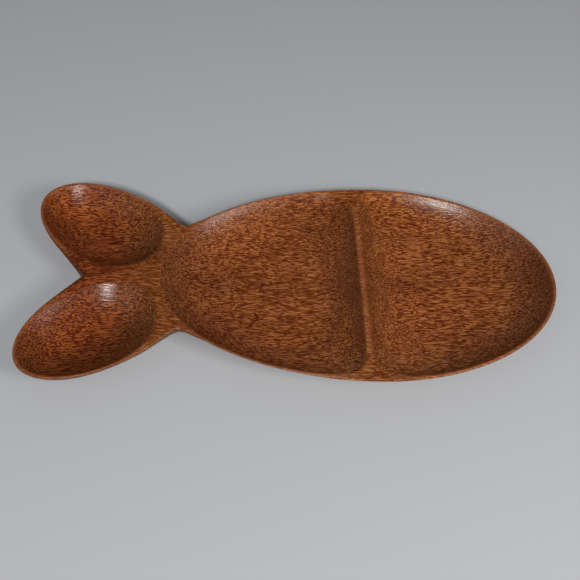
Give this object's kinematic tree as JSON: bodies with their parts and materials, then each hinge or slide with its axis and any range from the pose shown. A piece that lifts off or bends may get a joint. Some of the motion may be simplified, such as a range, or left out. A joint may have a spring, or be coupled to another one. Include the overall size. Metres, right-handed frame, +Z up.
{
  "type": "fish-shaped serving tray",
  "caption": "Fish-shaped wooden serving tray carved from one plank, with wells in the body either side of a divider and a well in each tail lobe.",
  "frame": {"origin": "on the surface that the tray stands on, under the middle of its length and width", "axes": "+X towards the fish's nose, +Y across the tray, +Z up out of the wells"},
  "size_m": [0.4299, 0.1932, 0.027],
  "materials": {
    "carved_wood": "satin, oiled or thinly lacquered, dark reddish brown with fine dark flecks"
  },
  "bodies": {
    "root": {"carved_tray": "carved_wood"}
  },
  "joints": []
}
